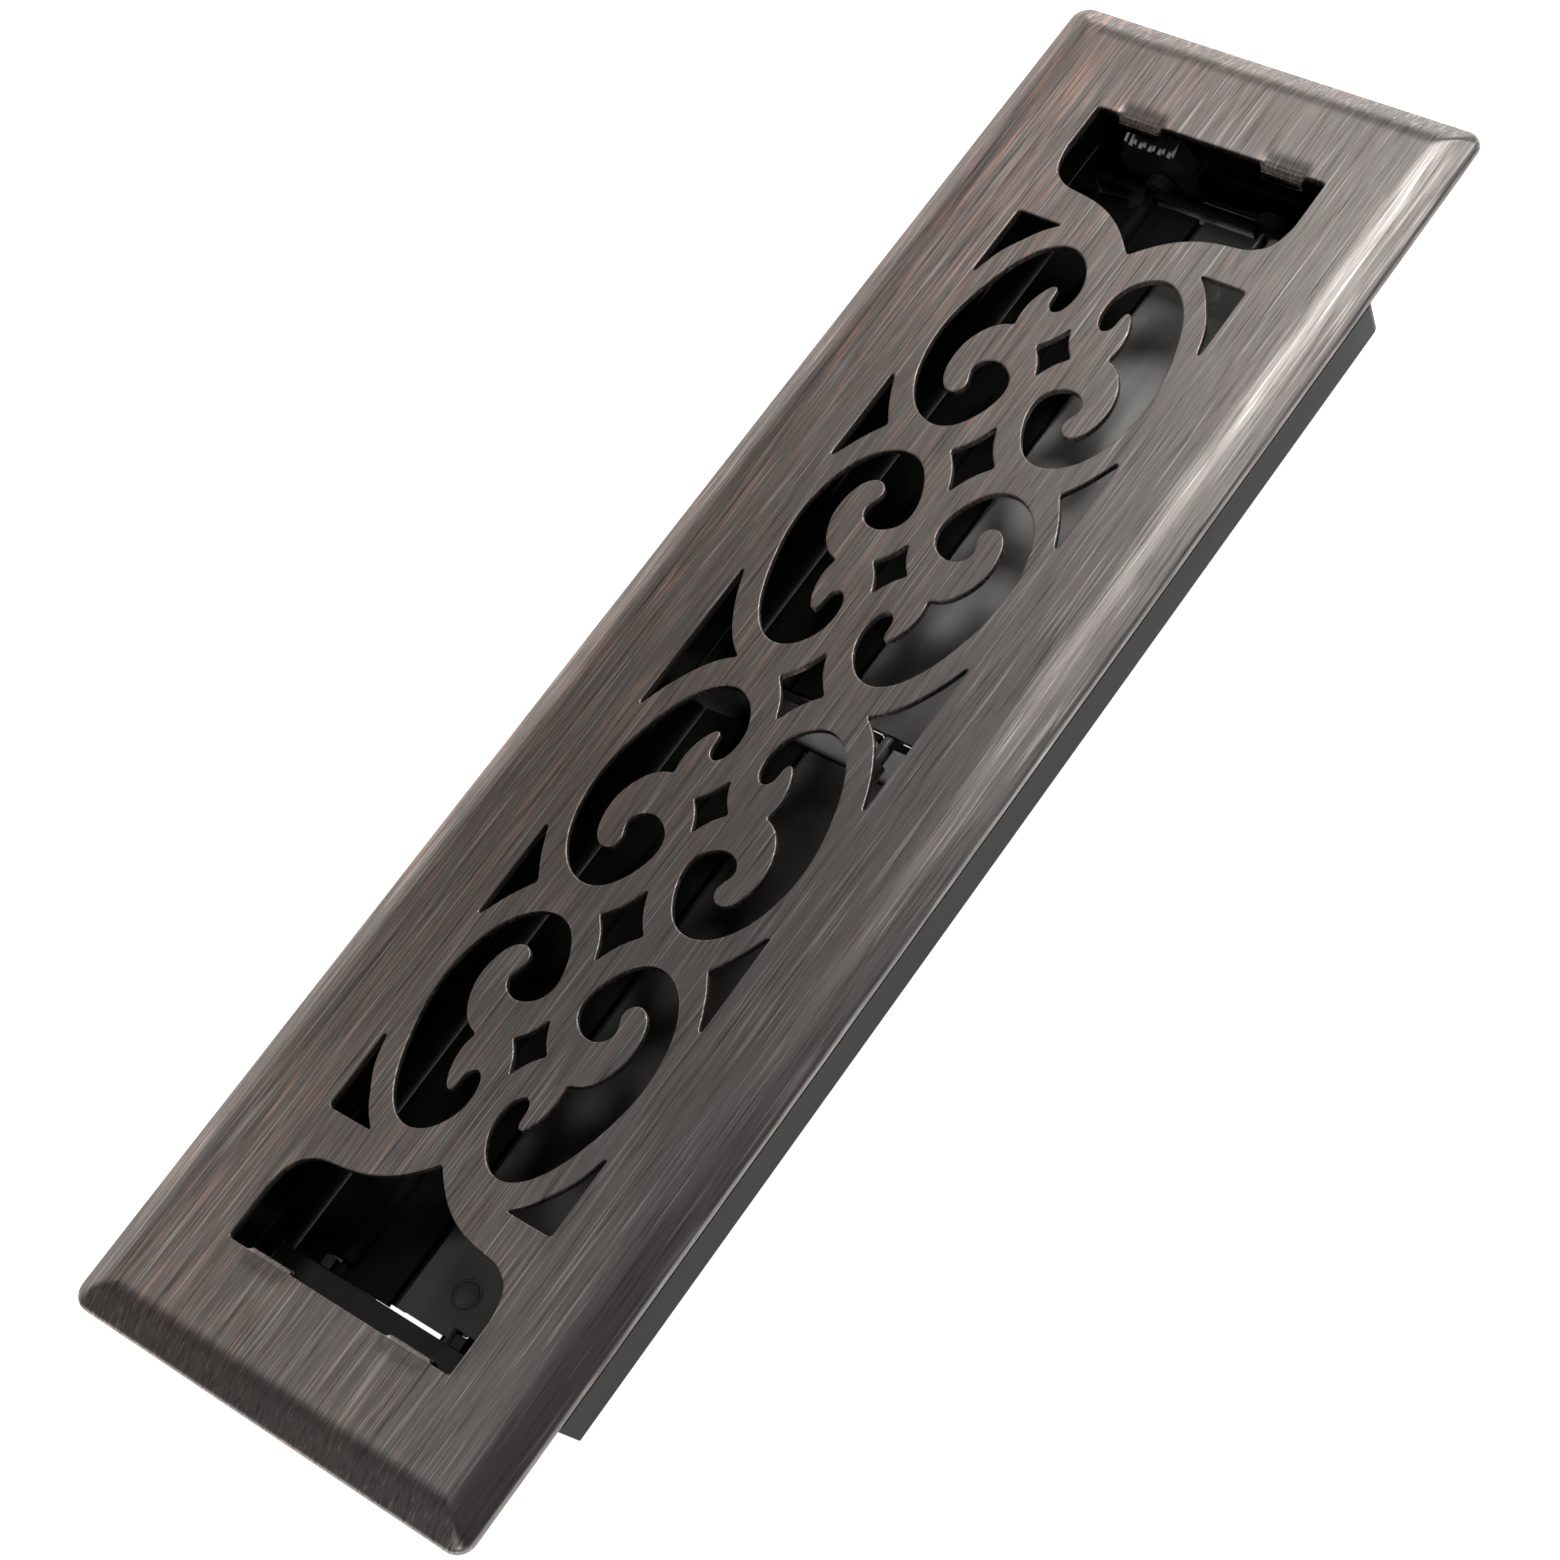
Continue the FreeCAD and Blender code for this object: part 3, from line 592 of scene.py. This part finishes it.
def brushed_bronze():
    """Dark bronze over brushed steel: long fine lines along Y, some rubbed through to copper or bare metal."""
    surface = Surface("brushed_bronze", Metallic=1.0, Anisotropic=0.5)
    hair = surface.noise((3600, 60, 900), 4, 0.65)
    streak = surface.noise((2200, 42, 600), 3, 0.6, 3.1)
    scratch = surface.noise((2300, 36, 700), 2, 0.5, 7.7)
    cloud = surface.noise((55, 9, 30), 3, 0.5, 1.3)
    fleck = surface.noise((2100, 48, 600), 3, 0.6, 5.2)
    split = surface.tree.nodes.new("ShaderNodeSeparateXYZ")
    surface.link(surface.place, split.inputs[0])
    leftness = surface.ramp(split.outputs["X"], -0.04, 0.036, 1.0, 0.15)
    drift = surface.ramp(cloud, 0.35, 0.68, 0, 1)
    cool = surface.mix(drift, (0.305, 0.295, 0.290), (0.336, 0.322, 0.315))
    warm = surface.mix(drift, (0.312, 0.284, 0.270), (0.345, 0.300, 0.280))
    tone = surface.mix(leftness, cool, warm)
    dark = surface.mix(0.36, tone, (0.075, 0.062, 0.055))
    tone = surface.mix(surface.ramp(hair, 0.40, 0.60, 0, 1), dark, tone)
    tone = surface.mix(surface.ramp(fleck, 0.54, 0.66, 0, 0.62), tone, (0.09, 0.07, 0.06))
    patches = surface.combine(surface.ramp(cloud, 0.3, 0.65, 0.4, 1.1), leftness, "MULTIPLY")
    copper = surface.combine(surface.ramp(streak, 0.52, 0.65, 0, 1.0), patches, "MULTIPLY")
    tone = surface.mix(copper, tone, (0.66, 0.42, 0.345))
    bare = surface.ramp(scratch, 0.58, 0.70, 0, 0.5)
    tone = surface.mix(bare, tone, (0.80, 0.77, 0.74))
    surface.link(tone, surface.shader.inputs["Base Color"])
    surface.link(surface.ramp(hair, 0.3, 0.7, 0.46, 0.38), surface.shader.inputs["Roughness"])
    surface.bump(surface.combine(hair, surface.combine(streak, 0.6, "MULTIPLY")), BRUSH_DEPTH, 0.8)
    tangent = surface.tree.nodes.new("ShaderNodeTangent")
    tangent.direction_type = "UV_MAP"
    tangent.uv_map = "across"
    surface.link(tangent.outputs["Tangent"], surface.shader.inputs["Tangent"])
    return surface.material


SHEEN_RISE = (-0.02, 0.09)  # metres along the register over which the painted sheen grows
SHEEN_END = (0.106, 0.118)  # and over which it stops


def black_plastic(name, grey, rough, shine, painted_sheen=0.0):
    """Moulded plastic: a fine satin grain and faint flow marks along Y. A painted sheen lightens its far half,
    standing in for the light that the louvre reflects there.
    """
    surface = Surface(name)
    surface.shader.inputs["Specular IOR Level"].default_value = shine
    grain = surface.noise((2600, 2600, 2600), 3, 0.6)
    flow = surface.noise((160, 22, 160), 3, 0.55, 2.4)
    shade = surface.ramp(flow, 0.3, 0.7, 0.85, 1.2)
    tint = surface.mix(1.0, [grey * c for c in (1.0, 0.96, 0.90)], shade, "MULTIPLY")
    # The far half is lightened towards pale grey along Y: a painted sheen, standing in for reflected light, not a
    # film on the plastic.
    if painted_sheen:
        split = surface.tree.nodes.new("ShaderNodeSeparateXYZ")
        surface.link(surface.place, split.inputs[0])
        rising = surface.ramp(split.outputs["Y"], *SHEEN_RISE, 0, painted_sheen)
        sheen_mask = surface.combine(rising, surface.ramp(split.outputs["Y"], *SHEEN_END, 1, 0), "MULTIPLY")
        sheen_mask = surface.combine(sheen_mask, surface.ramp(flow, 0.3, 0.7, 0.8, 1.1), "MULTIPLY")
        tint = surface.mix(sheen_mask, tint, (0.7, 0.7, 0.68))
    surface.link(tint, surface.shader.inputs["Base Color"])
    rough_map = surface.combine(surface.ramp(flow, 0.3, 0.7, rough - 0.04, rough + 0.05),
                                surface.ramp(grain, 0.3, 0.7, -0.02, 0.03))
    surface.link(rough_map, surface.shader.inputs["Roughness"])
    surface.bump(grain, BRUSH_DEPTH, 0.5)
    return surface.material


def dress(obj, material):
    """Gives the object this one material."""
    obj.data.materials.clear()
    obj.data.materials.append(material)


THUMB_LEAN = 0.42           # fall of the thumb's ribbed top for each millimetre towards the window
LEAN_FROM, LEAN_OVER = 4.0, 3.0     # depth under the top at which the lean starts, and its run-in


def slope_to_window(bm):
    """Leans the thumb's ribbed top towards the window."""
    top = max(vert.co.z for vert in bm.verts)
    back = max(vert.co.y for vert in bm.verts)
    for vert in bm.verts:
        share = min(max((vert.co.z - top + LEAN_FROM * MM) / (LEAN_OVER * MM), 0), 1)
        vert.co.z -= THUMB_LEAN * (back - vert.co.y) * share


SHORTEST_EASED = 1.0        # edges shorter than this stay crisp, and so do those that meet at under 32 degrees
FLATTEST_EASED = 32
SMALL_EDGES = ("damper_box", "thumb_slider")    # pieces with so fine a detail that their edges are eased less


def eased(name, body, width, clamp):
    """The moulded piece again, with its free edges rounded over; short edges, such as a bore's, stay crisp."""
    source = bpy.data.objects[name]
    bm = bmesh.new()
    bm.from_mesh(source.data)
    bm.transform(source.matrix_world)
    bmesh.ops.remove_doubles(bm, verts=bm.verts, dist=0.002 * MM)
    bmesh.ops.dissolve_limit(bm, angle_limit=math.radians(0.8), verts=bm.verts, edges=bm.edges)
    chosen = []
    for edge in bm.edges:
        if edge.calc_length() < SHORTEST_EASED * MM or edge.calc_face_angle(0) < math.radians(FLATTEST_EASED):
            continue
        others = [other for vert in edge.verts for other in vert.link_edges if other is not edge]
        if min(other.calc_length() for other in others) > 2.2 * width * MM:
            chosen.append(edge)
    bmesh.ops.bevel(bm, geom=chosen, offset=width * MM, offset_type="OFFSET", segments=3, profile=0.5,
                    affect="EDGES", clamp_overlap=clamp)
    if name == "thumb_slider":
        slope_to_window(bm)
    mesh = bpy.data.meshes.new(name + "_eased")
    bm.to_mesh(mesh)
    bm.free()
    smooth(mesh, 40)
    obj = new_object(name + "_eased", mesh)
    weighted = obj.modifiers.new("weighted", "WEIGHTED_NORMAL")
    weighted.keep_sharp = True
    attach(obj, body)
    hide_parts(name)
    return obj


BODIES = {
    "register": ("damper_box", "centre_rail"),
    "slider": ("link_bar", "thumb_slider"),
    "left_louvre": ("left_louvre_near", "left_louvre_far", "left_crank"),
    "right_louvre": ("right_louvre_near", "right_louvre_far", "right_crank"),
}
EASED_WIDTH = 0.25          # width of an eased edge, on most pieces, on the small ones and on the left louvre
SMALL_WIDTH = 0.2
LEFT_LOUVRE_WIDTH = 0.06

nodes = {}
for body, names in BODIES.items():
    for name in names:
        small = name in SMALL_EDGES
        width = SMALL_WIDTH if small else LEFT_LOUVRE_WIDTH if body == "left_louvre" else EASED_WIDTH
        nodes[name] = eased(name, body, width, clamp=not small)

bronze = brushed_bronze()
box_plastic = black_plastic("box_plastic", 0.007, 0.34, 0.22)
# The right louvres and their marks carry a painted sheen on their far half, standing in for reflected light.
louvre_plastic = black_plastic("louvre_plastic", 0.022, 0.36, 0.5, painted_sheen=0.8)
# The left louvres get a darker, duller copy of the louvre plastic: painted shade, for the shade that lies over
# them.
left_shaded_plastic = black_plastic("left_louvre_shaded_plastic", 0.007, 0.6, 0.08)
lever_plastic = black_plastic("lever_plastic", 0.04, 0.22, 1.0)
dress(plate, bronze)
tabs = [tab_leaf("tab_%s_%s" % (side, end), x * TAB_X, y) for side, x in (("left", -1), ("right", 1))
        for end, y in (("near", -1), ("far", 1))]
marks = [moulding_mark("mark_near", 11.7, -130.2), moulding_mark("mark_far", 11.7, 122.4)]
for leaf in tabs:
    dress(leaf, bronze)
for mark in marks:
    dress(mark, louvre_plastic)
for name, obj in nodes.items():
    if "louvre" in name:
        dress(obj, left_shaded_plastic if name.startswith("left") else louvre_plastic)
    elif name in ("damper_box", "centre_rail"):
        dress(obj, box_plastic)
    else:
        dress(obj, lever_plastic)

# ---- Camera, floor and lights ----

CAMERA_AT = (0.3491, -0.2240, 0.5931)
CAMERA_AXES = ((0.77522, 0.57010, -0.27205), (-0.37646, 0.76280, 0.52575), (0.50725, -0.30516, 0.80596))
SENSOR, LENS = 36, 82.14    # millimetres
camera_data = bpy.data.cameras.new("camera")
camera_data.sensor_width = SENSOR
camera_data.lens = LENS
camera_data.clip_start = 0.01
camera = new_object("camera", camera_data)
camera.matrix_world = Matrix.Translation(CAMERA_AT) @ Matrix(CAMERA_AXES).transposed().to_4x4()
bpy.context.scene.camera = camera

FLOOR_HALF, FLOOR_Z = 3, -0.0002        # metres
floor_mesh = bpy.data.meshes.new("floor")
floor_corners = [(x * FLOOR_HALF, y * FLOOR_HALF, FLOOR_Z) for x, y in ((-1, -1), (1, -1), (1, 1), (-1, 1))]
floor_mesh.from_pydata(floor_corners, [], [(0, 1, 2, 3)])
floor = new_object("floor", floor_mesh)
table = Surface("light_table", Roughness=0.9)
paper = table.noise((9, 9, 9), 3)
paper_tone = table.mix(table.ramp(paper, 0.3, 0.7, 0, 1), (0.80, 0.80, 0.80), (0.82, 0.82, 0.82))
table.link(paper_tone, table.shader.inputs["Base Color"])
table.shader.inputs["Emission Color"].default_value = (1, 1, 1, 1)
table.shader.inputs["Emission Strength"].default_value = 1.0
dress(floor, table.material)


WARM = (1.0, 0.98, 0.962)


def area_light(name, place, back, size, radiance):
    """A rectangle of light at place, with its dark side towards back."""
    data = bpy.data.lights.new(name, "AREA")
    data.shape = "RECTANGLE"
    data.size, data.size_y = size
    data.energy = radiance * math.pi * size[0] * size[1]
    data.color = WARM
    light = new_object(name, data)
    light.location = place
    light.rotation_euler = back.to_track_quat("Z", "Y").to_euler()


def softbox(name, across, along, size, distance, radiance):
    """A soft light above the plate: across and along are its offsets in X and Y for each metre of height."""
    toward = Vector((across, along, 1)).normalized()
    area_light(name, Vector((0, 0, face_high.z * MM)) + toward * distance, toward, size, radiance)


def card(name, place, facing, size, radiance):
    """A low upright card of light, mirrored only by the border on its side."""
    area_light(name, place, -Vector(facing), size, radiance)


softbox("back_low", 0.05, 0.65, (0.45, 0.36), 1.4, 8.4)
softbox("back_high", 0.05, 0.95, (0.45, 0.36), 1.4, 6.0)
softbox("key", -0.6, 0.92, (0.2, 0.2), 1.4, 2.3)
softbox("front_left", -0.6, -0.1, (0.45, 0.36), 1.4, 2.1)
softbox("front", 0.35, -1.1, (0.35, 0.3), 1.2, 4.0)
softbox("right", 0.5, 0.6, (0.3, 0.36), 1.4, 0.8)
card("left_card", (-1.3, 0.5, 0.2), (1, 0, -0.12), (2.6, 0.5), 0.7)
card("far_card", (-0.3, 1.6, 0.2), (0, -1, -0.12), (1.6, 0.5), 1.3)

# The sky glows only near the horizon: below the first height at the first strength, above the second at the other.
GLOW_HEIGHTS, GLOW_STRENGTHS = (0.08, 0.22), (0.9, 0.02)
world = bpy.data.worlds.new("studio")
bpy.context.scene.world = world
world.use_nodes = True
sky = world.node_tree
background = sky.nodes["Background"]
background.inputs["Color"].default_value = (0.98, 0.99, 1.0, 1)
direction = sky.nodes.new("ShaderNodeTexCoord")
height = sky.nodes.new("ShaderNodeSeparateXYZ")
glow = sky.nodes.new("ShaderNodeMapRange")
for socket, value in zip(("From Min", "From Max", "To Min", "To Max"), GLOW_HEIGHTS + GLOW_STRENGTHS):
    glow.inputs[socket].default_value = value
sky.links.new(direction.outputs["Generated"], height.inputs[0])
sky.links.new(height.outputs["Z"], glow.inputs["Value"])
sky.links.new(glow.outputs["Result"], background.inputs["Strength"])

bpy.context.scene.view_settings.view_transform = "Standard"
bpy.context.scene.view_settings.look = "None"
